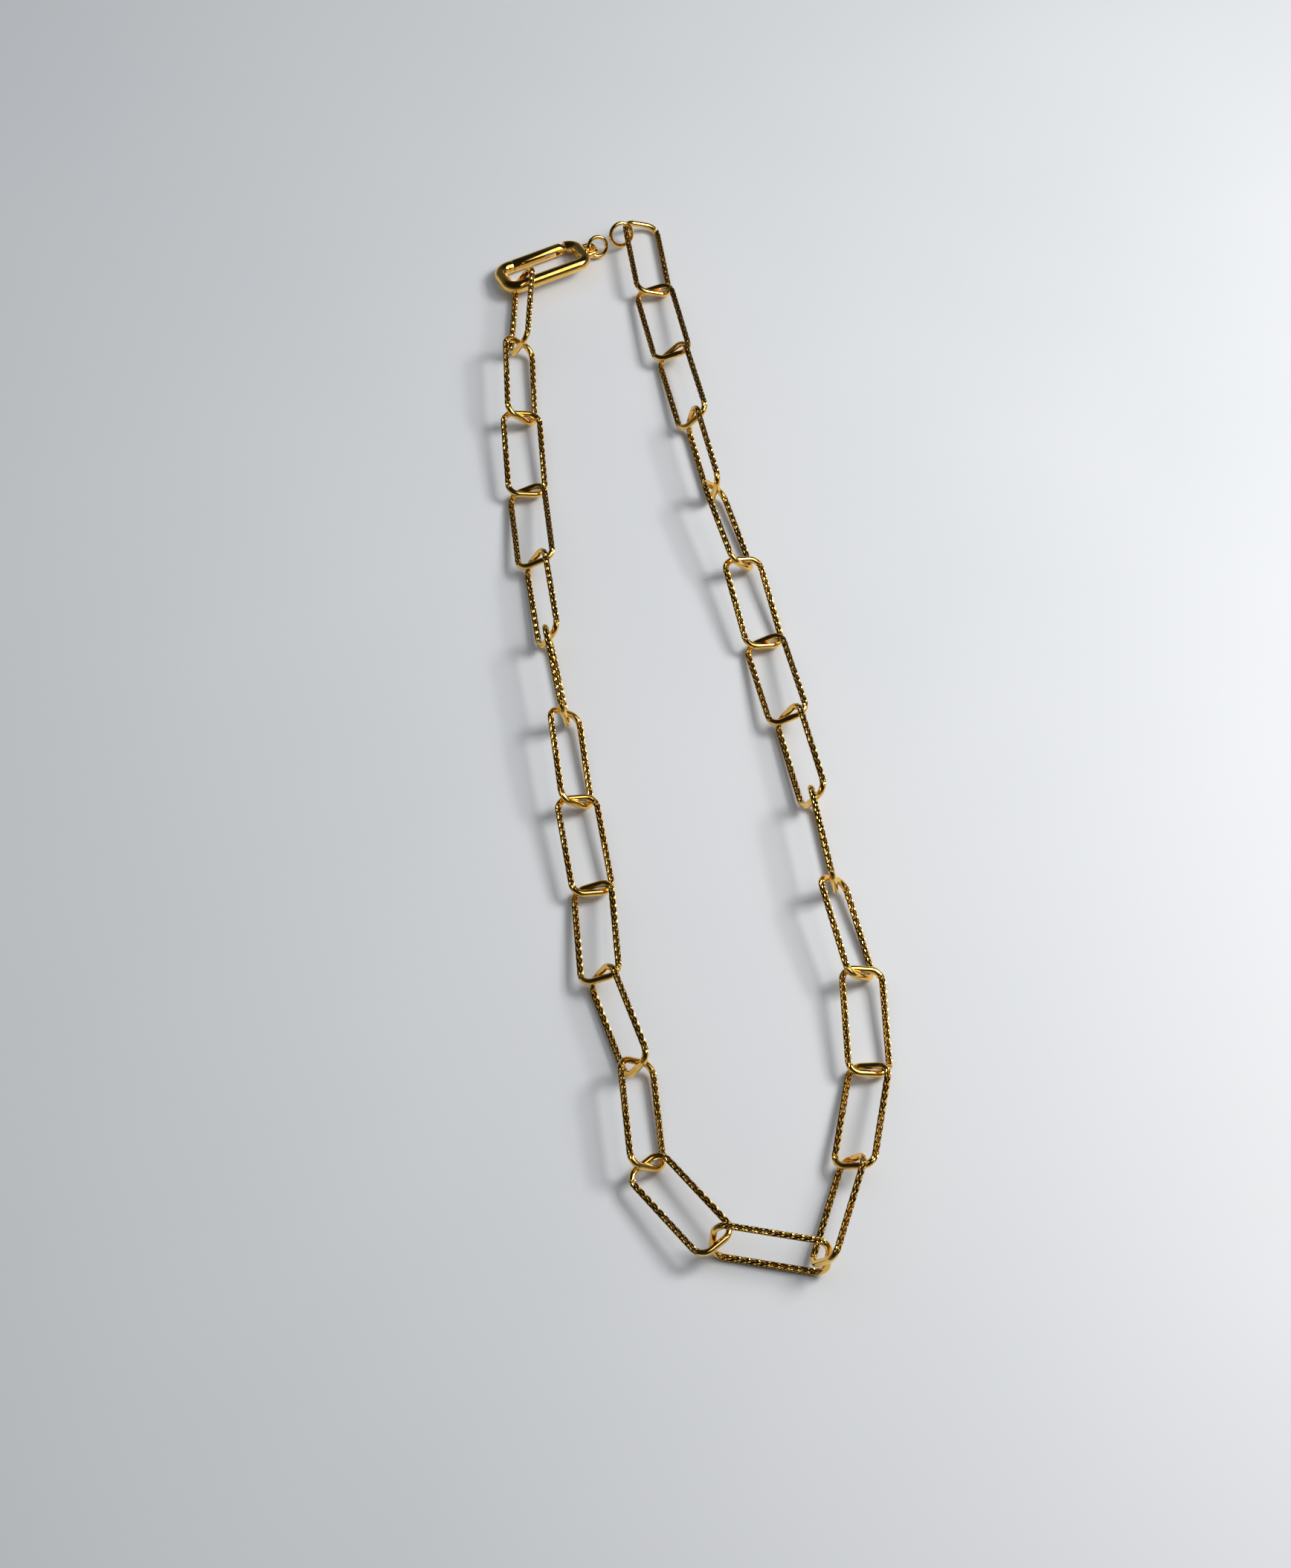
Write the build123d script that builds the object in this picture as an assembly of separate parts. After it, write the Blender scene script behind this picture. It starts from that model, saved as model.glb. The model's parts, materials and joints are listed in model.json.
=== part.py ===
from build123d import *
import math
import os

# A paperclip chain necklace with a hinged clasp, laid down as a closed loop.
# Millimetres and degrees. +Y runs from the front of the loop to the clasp, +X to the
# right seen from the front, +Z up from the surface that the chain lies on.

# Links
LINK_LENGTH = 16.75
LINK_WIDTH = 7.0
LINK_WIRE = 1.0
LINK_END_FLAT = 2.4
SEAT_GAP = 0.08

# Clasp frame and its eye
CLASP_LENGTH = 16.5
CLASP_WIDTH = 8.3
CLASP_BAR = 2.1
CLASP_CORNER = 3.0
HOOK_OFFSET = 4.0
EYE_LENGTH = 4.0
EYE_WIDTH = 3.6
EYE_WIRE = 0.9
EYE_CORNER = 1.3

# Gate, its pivot pin and its spring
GATE_LENGTH = 8.6
PIN_DIAMETER = 0.6
PIN_SHORTFALL = 0.06
PIN_CLEARANCE = 0.03
TONGUE_THICKNESS = 0.66
TONGUE_RADIUS = 0.7
CATCH_LENGTH = 1.0
CATCH_BELOW = 0.3
CATCH_ABOVE = 0.5
SIDE_CLEARANCE = 0.07
END_CLEARANCE = 0.1
SPRING_LENGTH = 2.0
SPRING_THICKNESS = 0.15
SPRING_WIDTH = 0.6
SPRING_DROP = 0.68

# Jump rings
RING_WIRE = 0.7
CLASP_RING_DIAMETER = 4.0
CHAIN_RING_DIAMETER = 4.6
CLASP_RING_LEAN = 70
CHAIN_RING_LEAN = 60
RING_PARTING = 0.2
RING_GAP = 0.16
RING_SLACK = 0.14

# How each link lies, from the clasp round the front and back: the way it points, and
# how far it is rolled about its own length.
LINK_LAY = [
    (-93, 60),
    (-88, -45),
    (-86, -11),
    (-84, 23),
    (-82, 60),
    (-80, -82),
    (-83, -43),
    (-81, -10),
    (-86, 23),
    (-71, 57),
    (-85, -40),
    (-51, 0),
    (-11, 65),
    (71, -60),
    (78, -26),
    (91, 12),
    (103, 46),
    (99, 81),
    (102, -58),
    (102, -19),
    (102, 15),
    (106, 54),
    (102, -78),
    (102, -44),
    (101, -11),
    (98, 22),
]
FRONT_LINK = 13
SWING_LIMIT = 25.0

# How often each part of the lay is refined
LIFT_PASSES = 4
HOOK_PASSES = 12
CLOSING_PASSES = 40

# Sizes worked out from the ones above
LINK_CORNER = (LINK_WIDTH - LINK_END_FLAT) / 2
EYE_REACH = EYE_WIRE + RING_GAP + RING_WIRE + RING_SLACK
LINK_REACH = (LINK_LENGTH - LINK_WIRE) / 2
LINK_SPREAD = (LINK_WIDTH - LINK_WIRE) / 2
CLASP_SPREAD = (CLASP_WIDTH - CLASP_BAR) / 2
SEAT = LINK_WIRE + SEAT_GAP
HOOK_SEAT = (CLASP_BAR + LINK_WIRE) / 2 + SEAT_GAP
EYE_CENTRE = CLASP_LENGTH / 2 + EYE_REACH - EYE_LENGTH / 2
EYE_BAR = EYE_CENTRE + (EYE_LENGTH - EYE_WIRE) / 2
CLASP_RING_RADIUS = (CLASP_RING_DIAMETER - RING_WIRE) / 2
CHAIN_RING_RADIUS = (CHAIN_RING_DIAMETER - RING_WIRE) / 2
CLASP_RING_CENTRE = EYE_BAR - (EYE_WIRE + RING_WIRE) / 2 - RING_GAP + CLASP_RING_RADIUS
RINGS_APART = CLASP_RING_RADIUS + RING_WIRE + RING_PARTING + CHAIN_RING_RADIUS
CHAIN_RING_CENTRE = CLASP_RING_CENTRE + RINGS_APART
CHAIN_RING_SEAT = (LINK_WIRE + RING_WIRE) / 2 + RING_GAP
CHAIN_END = CHAIN_RING_CENTRE + CHAIN_RING_RADIUS - CHAIN_RING_SEAT
UP = Vector(0, 0, 1)


def turn(heading):
    """Level direction at a heading, in degrees from +X."""
    return Vector(math.cos(math.radians(heading)), math.sin(math.radians(heading)), 0)


def heading_of(direction):
    """Heading of a direction, in degrees from +X."""
    return math.degrees(math.atan2(direction.Y, direction.X))


def link_axes(heading, roll, climb):
    """Long and cross directions of a link that climbs by a sine and is rolled."""
    along = turn(heading) * math.sqrt(1 - climb**2) + UP * climb
    level = turn(heading + 90)
    lift = along.cross(level)
    across = level * math.cos(math.radians(roll)) + lift * math.sin(math.radians(roll))
    return along, across


def rest_height(roll):
    """Height of a rolled link's centre line when its lower wire touches the surface."""
    return LINK_SPREAD * abs(math.sin(math.radians(roll))) + LINK_WIRE / 2


def seat_side(first_bar, second_bar, ahead):
    """Unit common perpendicular of two crossing bars, on the side that looks ahead."""
    side = first_bar.cross(second_bar).normalized()
    return side if side.dot(ahead) > 0 else side * -1


def lay_chain(swing):
    """Centre, long and cross direction of every link, with the second leg swung."""
    heights = [rest_height(roll) for _, roll in LINK_LAY]
    joints = [heights[0]]
    joints += [max(pair) for pair in zip(heights, heights[1:])]
    joints += [heights[-1]]
    links = []
    for index, (heading, roll) in enumerate(LINK_LAY):
        if index >= FRONT_LINK:
            heading += swing
        near_bar = UP * joints[0]
        climb = 0
        for _ in range(LIFT_PASSES):
            along, across = link_axes(heading, roll, climb)
            if links:
                centre, last_along, last_across = links[-1]
                side = seat_side(last_across, across, last_along + along)
                near_bar = centre + last_along * LINK_REACH - side * SEAT
            climb = (joints[index + 1] - near_bar.Z) / (2 * LINK_REACH)
        links.append((near_bar + along * LINK_REACH, along, across))
    return links


def chain_end(link):
    """Point on a link's left side wire, just before its corner, where the ring hangs."""
    centre, along, across = link
    side = across if across.dot(turn(180)) > 0 else across * -1
    corner = LINK_CORNER - LINK_WIRE / 2
    return centre + along * (LINK_REACH - corner - RING_WIRE) + side * LINK_SPREAD


def clasp_axes(heading, bar_height):
    """Directions of a clasp whose hooked bar is lifted by the first link."""
    dip = (bar_height - CLASP_BAR / 2) / (2 * CLASP_SPREAD)
    along = turn(heading)
    across = turn(heading + 90) * math.sqrt(1 - dip**2) - UP * dip
    return along, across


def close_loop(swing):
    """Chain, clasp plane and the gap between chain end and clasp, less than 0 if crossed."""
    links = lay_chain(swing)
    centre, along, bar = links[0]
    hook = centre - along * LINK_REACH
    span = chain_end(links[-1]) - hook
    heading = heading_of(span)
    bar_point = hook
    for _ in range(HOOK_PASSES):
        clasp_along, clasp_across = clasp_axes(heading, bar_point.Z)
        hook_side = seat_side(clasp_along, bar, clasp_across)
        bar_point = hook - hook_side * HOOK_SEAT
        origin = bar_point + clasp_along * HOOK_OFFSET + clasp_across * CLASP_SPREAD
        wanted = origin + clasp_along * CHAIN_END
        heading += heading_of(span) - heading_of(wanted - hook)
    reach = math.hypot(wanted.X - hook.X, wanted.Y - hook.Y)
    clasp = Plane(origin=origin, x_dir=clasp_along, z_dir=clasp_along.cross(clasp_across))
    gap = math.hypot(span.X, span.Y) - reach if span.X > 0 else -reach
    return links, clasp, gap


def closed_lay():
    """Chain and clasp with the second leg swung until the loop closes."""
    low, high = -SWING_LIMIT, SWING_LIMIT
    for _ in range(CLOSING_PASSES):
        middle = (low + high) / 2
        if close_loop(middle)[2] > 0:
            low = middle
        else:
            high = middle
    return close_loop((low + high) / 2)


def wire_loop(length, width, wire, corner):
    """Closed rounded rectangle of round wire, lying flat and centred."""
    outline = RectangleRounded(length - wire, width - wire, corner - wire / 2)
    path = outline.face().outer_wire()
    section = Plane(origin=path @ 0, z_dir=path % 0) * Circle(wire / 2)
    return sweep(section, path=path)


def block(low, high):
    """Box between two corners."""
    size = [b - a for a, b in zip(low, high)]
    middle = [(a + b) / 2 for a, b in zip(low, high)]
    return Pos(*middle) * Box(*size)


def clasp_parts():
    """Frame, gate, pin and spring of the clasp, in the clasp's own plane."""
    radius = CLASP_BAR / 2
    pin_x = GATE_LENGTH / 2
    gate_end = pin_x - GATE_LENGTH
    hinge_face = pin_x + radius + END_CLEARANCE
    catch_face = gate_end - END_CLEARANCE
    slot = TONGUE_THICKNESS / 2 + SIDE_CLEARANCE
    bar_y = CLASP_SPREAD
    pivot = Pos(pin_x, bar_y, 0)

    frame = wire_loop(CLASP_LENGTH, CLASP_WIDTH, CLASP_BAR, CLASP_CORNER)
    frame -= block((catch_face, bar_y - CLASP_BAR, -CLASP_BAR), (hinge_face, bar_y + CLASP_BAR, CLASP_BAR))
    hinge_tongue = block(
        (pin_x, bar_y - TONGUE_RADIUS, -TONGUE_THICKNESS / 2),
        (hinge_face + END_CLEARANCE, bar_y + TONGUE_RADIUS, TONGUE_THICKNESS / 2),
    )
    hinge_tongue += pivot * Cylinder(TONGUE_RADIUS, TONGUE_THICKNESS)
    hinge_tongue -= pivot * Cylinder(PIN_DIAMETER / 2 + PIN_CLEARANCE, CLASP_BAR)
    catch_tongue = block(
        (catch_face - END_CLEARANCE, bar_y - CATCH_BELOW, -TONGUE_THICKNESS / 2),
        (catch_face + CATCH_LENGTH, bar_y + CATCH_ABOVE, TONGUE_THICKNESS / 2),
    )
    eye = Pos(EYE_CENTRE, 0, 0) * wire_loop(EYE_LENGTH, EYE_WIDTH, EYE_WIRE, EYE_CORNER)
    eye -= block((-CLASP_LENGTH, -EYE_WIDTH, -EYE_WIRE), (CLASP_LENGTH / 2 - radius, EYE_WIDTH, EYE_WIRE))
    frame = frame + hinge_tongue + catch_tongue + eye

    gate = Pos((pin_x + gate_end) / 2, bar_y, 0) * Rot(0, 90, 0) * Cylinder(radius, GATE_LENGTH)
    gate += pivot * Sphere(radius)
    hinge_slot_end = pin_x - TONGUE_RADIUS - END_CLEARANCE - SPRING_LENGTH
    gate -= block((hinge_slot_end, bar_y - CLASP_BAR, -slot), (hinge_face, bar_y + CLASP_BAR, slot))
    gate -= block(
        (gate_end - END_CLEARANCE, bar_y - CATCH_BELOW - SIDE_CLEARANCE, -slot),
        (catch_face + CATCH_LENGTH + 2 * END_CLEARANCE, bar_y + CLASP_BAR, slot),
    )
    gate -= pivot * Cylinder(PIN_DIAMETER / 2, 2 * CLASP_BAR)
    pin = pivot * Cylinder(PIN_DIAMETER / 2, CLASP_BAR - 2 * PIN_SHORTFALL)
    spring = block(
        (hinge_slot_end, bar_y - SPRING_DROP, -SPRING_WIDTH / 2),
        (hinge_slot_end + SPRING_LENGTH, bar_y - SPRING_DROP + SPRING_THICKNESS, SPRING_WIDTH / 2),
    )
    return {"clasp_frame": frame, "clasp_gate": gate, "gate_pin": pin, "gate_spring": spring}


def jump_ring(diameter, plane):
    """Closed jump ring of an outside diameter, in a plane."""
    return plane * Torus((diameter - RING_WIRE) / 2, RING_WIRE / 2)


def ring_plane(clasp, distance, lean):
    """Plane of a ring on the clasp's long axis, leaning out of the clasp's own plane."""
    leaning = clasp.y_dir.rotate(Axis((0, 0, 0), clasp.x_dir), lean)
    return Plane(
        origin=clasp.origin + clasp.x_dir * distance,
        x_dir=clasp.x_dir,
        z_dir=clasp.x_dir.cross(leaning),
    )


def build():
    """Every piece by name."""
    links, clasp, _ = closed_lay()
    pieces = {}
    one_link = wire_loop(LINK_LENGTH, LINK_WIDTH, LINK_WIRE, LINK_CORNER)
    for number, (centre, along, across) in enumerate(links, start=1):
        plane = Plane(origin=centre, x_dir=along, z_dir=along.cross(across))
        pieces[f"link_{number:02d}"] = plane * one_link
    for name, shape in clasp_parts().items():
        pieces[name] = clasp * shape
    level_clasp = Plane(
        origin=chain_end(links[-1]) - clasp.x_dir * CHAIN_END,
        x_dir=clasp.x_dir,
        z_dir=UP,
    )
    clasp_ring = ring_plane(clasp, CLASP_RING_CENTRE, CLASP_RING_LEAN)
    chain_ring = ring_plane(level_clasp, CHAIN_RING_CENTRE, CHAIN_RING_LEAN)
    pieces["clasp_ring"] = jump_ring(CLASP_RING_DIAMETER, clasp_ring)
    pieces["chain_ring"] = jump_ring(CHAIN_RING_DIAMETER, chain_ring)
    return pieces


pieces = build()
bounds = Compound(list(pieces.values())).bounding_box()
to_base = Vector(-bounds.center().X, -bounds.center().Y, -bounds.min.Z)

os.makedirs("parts", exist_ok=True)
for name, shape in pieces.items():
    shape.label = name
    export_step(Pos(*to_base) * shape, f"parts/{name}.step")
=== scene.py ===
"""A paperclip chain necklace with a hinged clasp, laid on a pale table under soft light.

Lengths in the dataclasses are millimetres; meshes are built in metres.
"""

import json
import logging
import math
from collections.abc import Callable, Mapping, Sequence
from dataclasses import dataclass, field
from enum import Enum
from typing import Any, ClassVar

import bmesh
import bpy
import numpy as np
from mathutils import Matrix, Vector


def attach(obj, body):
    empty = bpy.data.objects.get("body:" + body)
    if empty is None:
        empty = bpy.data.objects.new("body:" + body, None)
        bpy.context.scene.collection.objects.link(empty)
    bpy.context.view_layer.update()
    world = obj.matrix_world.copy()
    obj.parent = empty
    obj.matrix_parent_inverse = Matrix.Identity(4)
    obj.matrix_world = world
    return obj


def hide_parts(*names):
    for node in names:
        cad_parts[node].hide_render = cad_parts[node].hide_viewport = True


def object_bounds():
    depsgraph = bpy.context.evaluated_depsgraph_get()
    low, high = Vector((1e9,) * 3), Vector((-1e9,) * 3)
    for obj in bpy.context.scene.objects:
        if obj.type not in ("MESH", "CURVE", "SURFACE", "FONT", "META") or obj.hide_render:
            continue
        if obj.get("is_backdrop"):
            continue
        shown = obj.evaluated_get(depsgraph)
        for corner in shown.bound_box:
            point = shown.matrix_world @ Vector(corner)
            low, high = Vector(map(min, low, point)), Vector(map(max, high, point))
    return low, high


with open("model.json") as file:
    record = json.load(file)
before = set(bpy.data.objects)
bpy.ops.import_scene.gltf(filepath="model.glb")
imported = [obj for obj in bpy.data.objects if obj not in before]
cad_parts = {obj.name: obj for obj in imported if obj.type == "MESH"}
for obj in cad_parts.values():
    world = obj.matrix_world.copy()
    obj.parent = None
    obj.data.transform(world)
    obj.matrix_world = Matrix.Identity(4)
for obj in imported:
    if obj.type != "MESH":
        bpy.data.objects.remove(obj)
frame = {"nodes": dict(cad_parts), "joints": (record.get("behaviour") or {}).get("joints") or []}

logging.basicConfig(level=logging.INFO, format="%(message)s")
log = logging.getLogger("necklace")

MM = 0.001
QUARTER_TURN = math.pi / 2
MERGE_DISTANCE = 0.002 * MM
# Mesh layer holding how deep each point is cut, and the band of it over which the finish paints shade into
# the grooves.
GROOVE_SHADE_LAYER = "painted_groove_shade"
GROOVE_SHADE_BAND = (0.25, 0.95)


class Surface(Enum):
    """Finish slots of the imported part."""

    DIAMOND_CUT = "diamond_cut_gold"
    POLISHED = "polished_gold"
    SPRING = "spring_steel"


class Select(Enum):
    """What an edit-mode selection picks."""

    POINTS = "VERT"
    EDGES = "EDGE"
    FACES = "FACE"


def mm(*values: float) -> Vector:
    """A point or travel given in millimetres, as metres."""
    return Vector(values) * MM


# ---------------------------------------------------------------- shader maths


@dataclass(frozen=True)
class Wire:
    """One output of a shader node, with the arithmetic that the finishes use.

    Args:
        shader: The node tree that the output belongs to.
        socket: The output itself.
    """

    shader: "Shader"
    socket: bpy.types.NodeSocket

    def _math(self, operation: str, first: Any, second: Any) -> "Wire":
        """Add a Math node on two values.

        Args:
            operation: The Math node's operation.
            first: A wire or a number.
            second: A wire or a number.

        Returns:
            The node's output.
        """
        return self.shader.add("ShaderNodeMath", {"operation": operation}, {0: first, 1: second})

    def __add__(self, other: "Wire | float") -> "Wire":
        """Sum."""
        return self._math("ADD", self, other)

    def __mul__(self, other: "Wire | float") -> "Wire":
        """Product."""
        return self._math("MULTIPLY", self, other)

    def __rmul__(self, other: float) -> "Wire":
        """Product with a number first."""
        return self._math("MULTIPLY", other, self)


class Shader:
    """The node tree of one material, with its Principled shader ready to dress."""

    def __init__(self, name: str) -> None:
        """Make the material.

        Args:
            name: The material's name.
        """
        self.material = bpy.data.materials.new(name)
        self.material.use_nodes = True
        self.tree = self.material.node_tree
        self.tree.nodes.clear()
        self.surface = self.tree.nodes.new("ShaderNodeBsdfPrincipled")
        output = self.tree.nodes.new("ShaderNodeOutputMaterial")
        self.tree.links.new(self.surface.outputs["BSDF"], output.inputs["Surface"])

    def add(
        self,
        kind: str,
        settings: Mapping[str, Any] | None = None,
        inputs: Mapping[int | str, Any] | None = None,
        output: int | str = 0,
    ) -> Wire:
        """Add a node.

        Args:
            kind: The node's type.
            settings: Properties of the node, set before its sockets.
            inputs: Values or wires for its input sockets.
            output: Which output to return.

        Returns:
            The chosen output.
        """
        node = self.tree.nodes.new(kind)
        for name, value in (settings or {}).items():
            setattr(node, name, value)
        for name, value in (inputs or {}).items():
            self._feed(node.inputs[name], value)
        return Wire(self, node.outputs[output])

    def dress(self, **inputs: Any) -> None:
        """Set or feed sockets of the Principled shader.

        Args:
            **inputs: Values or wires, by socket name with underscores for spaces.
        """
        for name, value in inputs.items():
            self._feed(self.surface.inputs[name.replace("_", " ")], value)

    def _feed(self, socket: bpy.types.NodeSocket, value: Any) -> None:
        """Link a wire to a socket, or set the socket's own value."""
        if isinstance(value, Wire):
            self.tree.links.new(value.socket, socket)
        else:
            socket.default_value = value

    def place(self, stretch: tuple[float, float, float] = (1, 1, 1)) -> Wire:
        """Object coordinates, stretched.

        Args:
            stretch: Factor along each axis.

        Returns:
            The stretched coordinates.
        """
        point = self.add("ShaderNodeTexCoord", output="Object")
        return self.add("ShaderNodeMapping", {"vector_type": "POINT"}, {"Vector": point, "Scale": stretch})

    def noise(self, where: Wire, grain: float, detail: float = 3, roughness: float = 0.55) -> Wire:
        """Noise whose lumps are about one grain wide.

        Args:
            where: The coordinates.
            grain: Size of a lump in millimetres.
            detail: Number of finer layers.
            roughness: Strength of the finer layers.

        Returns:
            A value from 0 to 1.
        """
        sockets = {"Vector": where, "Scale": 1 / (grain * MM), "Detail": detail, "Roughness": roughness}
        return self.add("ShaderNodeTexNoise", {"noise_dimensions": "3D"}, sockets, "Fac")

    def spread(self, value: Wire, low: float, high: float, out_low: float = 0, out_high: float = 1) -> Wire:
        """Map a band of a value onto another band, held at its ends.

        Args:
            value: What is mapped.
            low: Where its band starts.
            high: Where its band ends.
            out_low: What the start becomes.
            out_high: What the end becomes.

        Returns:
            The mapped value.
        """
        sockets = {"Value": value, "From Min": low, "From Max": high, "To Min": out_low, "To Max": out_high}
        return self.add("ShaderNodeMapRange", {"clamp": True}, sockets, "Result")

    def mix(self, share: Wire, first: Any, second: Any) -> Wire:
        """Blend two colours.

        Args:
            share: How much of the second colour shows, from 0 to 1.
            first: A colour or a wire.
            second: A colour or a wire.

        Returns:
            The blend.
        """
        return self.add("ShaderNodeMix", {"data_type": "RGBA"}, {0: share, 6: first, 7: second}, 2)

    def bump(self, height: Wire, distance: float, strength: float) -> Wire:
        """Raise fine relief.

        Args:
            height: The relief, from 0 to 1.
            distance: What a height of 1 stands for, in millimetres.
            strength: How much of it shows.

        Returns:
            The bent normal.
        """
        sockets = {"Height": height, "Distance": distance * MM, "Strength": strength}
        return self.add("ShaderNodeBump", None, sockets, "Normal")


Colour = tuple[float, float, float, float]


@dataclass(frozen=True)
class GoldFinish:
    """Gold plating with slight changes of tone, gloss and handling marks.

    Args:
        name: The material's name.
        bright: Colour of freshly polished plating.
        deep: Colour where the plating is warmer.
        gloss: Lowest and highest roughness.
        tone_size: Size of the patches of tone, in millimetres.
        mark_size: Size of the handling marks, in millimetres.
        mark_depth: Depth of the marks, in millimetres.
        painted_groove_shade: Colour of the shade painted into the cut grooves, or None on a piece with no
            cuts.
        mark_share: How much of the haze comes from marks, the rest from hairlines.
        hairline_stretch: How much finer a hairline is across than along.
        haze_band: Band of the haze that runs from lowest to highest roughness.
        tone_band: Band of the tone noise that runs from deep to bright.
        relief: How much of the marks' depth shows.
    """

    name: str
    bright: Colour
    deep: Colour
    gloss: tuple[float, float]
    tone_size: float
    mark_size: float
    mark_depth: float
    painted_groove_shade: Colour | None = None
    mark_share: float = 0.6
    hairline_stretch: float = 9
    haze_band: tuple[float, float] = (0.35, 0.65)
    tone_band: tuple[float, float] = (0.3, 0.7)
    relief: float = 0.6

    def material(self) -> bpy.types.Material:
        """Build the material."""
        shader = Shader(self.name)
        where = shader.place()
        tone = shader.spread(shader.noise(where, self.tone_size), *self.tone_band)
        marks = shader.noise(where, self.mark_size, detail=5, roughness=0.7)
        across = shader.place((1, self.hairline_stretch, 1))
        hairlines = shader.noise(across, self.mark_size * 3, detail=4, roughness=0.6)
        worn = self.mark_share * marks + (1 - self.mark_share) * hairlines
        haze = shader.spread(worn, *self.haze_band, *self.gloss)
        colour = shader.mix(tone, self.deep, self.bright)
        # Painted shade: the deeper a point lies in the cuts, the more its colour is darkened towards a
        # near-black brown, in place of the shade that falls in the grooves.
        if self.painted_groove_shade:
            cut = shader.add("ShaderNodeAttribute", {"attribute_name": GROOVE_SHADE_LAYER}, output="Fac")
            colour = shader.mix(shader.spread(cut, *GROOVE_SHADE_BAND), colour, self.painted_groove_shade)
        shader.dress(
            Metallic=1.0,
            Base_Color=colour,
            Roughness=haze,
            Normal=shader.bump(marks * 0.5 + hairlines * 0.5, self.mark_depth, self.relief),
        )
        return shader.material


@dataclass(frozen=True)
class SteelFinish:
    """Rolled spring steel, brushed along its length.

    Args:
        name: The material's name.
        bright: Colour of the steel.
        dull: Colour in the brush lines.
        gloss: Lowest and highest roughness.
        line_size: Spacing of the brush lines, in millimetres.
        line_depth: Depth of the brush lines, in millimetres.
        line_stretch: Scale along the lines, against 1 across them.
        line_band: Band of the lines that runs from lowest to highest roughness.
        relief: How much of the lines' depth shows.
    """

    name: str
    bright: Colour
    dull: Colour
    gloss: tuple[float, float]
    line_size: float
    line_depth: float = 0.004
    line_stretch: float = 0.1
    line_band: tuple[float, float] = (0.3, 0.7)
    relief: float = 0.5

    def material(self) -> bpy.types.Material:
        """Build the material."""
        shader = Shader(self.name)
        lines = shader.noise(shader.place((self.line_stretch, 1, 1)), self.line_size, detail=4)
        shader.dress(
            Metallic=1.0,
            Base_Color=shader.mix(lines, self.dull, self.bright),
            Roughness=shader.spread(lines, *self.line_band, *self.gloss),
            Normal=shader.bump(lines, self.line_depth, self.relief),
        )
        return shader.material


@dataclass(frozen=True)
class TableFinish:
    """Pale honed table top, a little cool.

    Args:
        name: The material's name.
        pale: Main colour.
        shade: Colour of the faint clouds in it.
        cloud_size: Size of the clouds, in millimetres.
        gloss: Lowest and highest roughness.
        cloud_band: Band of the clouds that runs from lowest to highest roughness.
    """

    name: str
    pale: Colour
    shade: Colour
    cloud_size: float
    gloss: tuple[float, float]
    cloud_band: tuple[float, float] = (0.3, 0.7)

    def material(self) -> bpy.types.Material:
        """Build the material."""
        shader = Shader(self.name)
        clouds = shader.noise(shader.place(), self.cloud_size, detail=2)
        shader.dress(
            Base_Color=shader.mix(clouds, self.shade, self.pale),
            Roughness=shader.spread(clouds, *self.cloud_band, *self.gloss),
        )
        return shader.material


CUT_GOLD = GoldFinish(
    name="cut_gold_plating",
    bright=(1.0, 0.67, 0.21, 1),
    deep=(0.88, 0.49, 0.08, 1),
    gloss=(0.08, 0.17),
    tone_size=2.4,
    mark_size=0.12,
    mark_depth=0.003,
    # Near-black brown painted into the cut grooves as shade.
    painted_groove_shade=(0.10, 0.045, 0.006, 1),
)
POLISHED_GOLD = GoldFinish(
    name="polished_gold_plating",
    bright=(1.0, 0.67, 0.20, 1),
    deep=(0.86, 0.48, 0.08, 1),
    gloss=(0.05, 0.14),
    tone_size=3.0,
    mark_size=0.2,
    mark_depth=0.002,
)
SPRING_STEEL = SteelFinish(
    name="brushed_spring_steel",
    bright=(0.62, 0.61, 0.59, 1),
    dull=(0.42, 0.41, 0.40, 1),
    gloss=(0.22, 0.38),
    line_size=0.05,
)
PALE_TABLE = TableFinish(
    name="pale_table",
    pale=(0.80, 0.82, 0.85, 1),
    shade=(0.76, 0.785, 0.82, 1),
    cloud_size=60.0,
    gloss=(0.42, 0.55),
)


# ---------------------------------------------------------------- the bench


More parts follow.
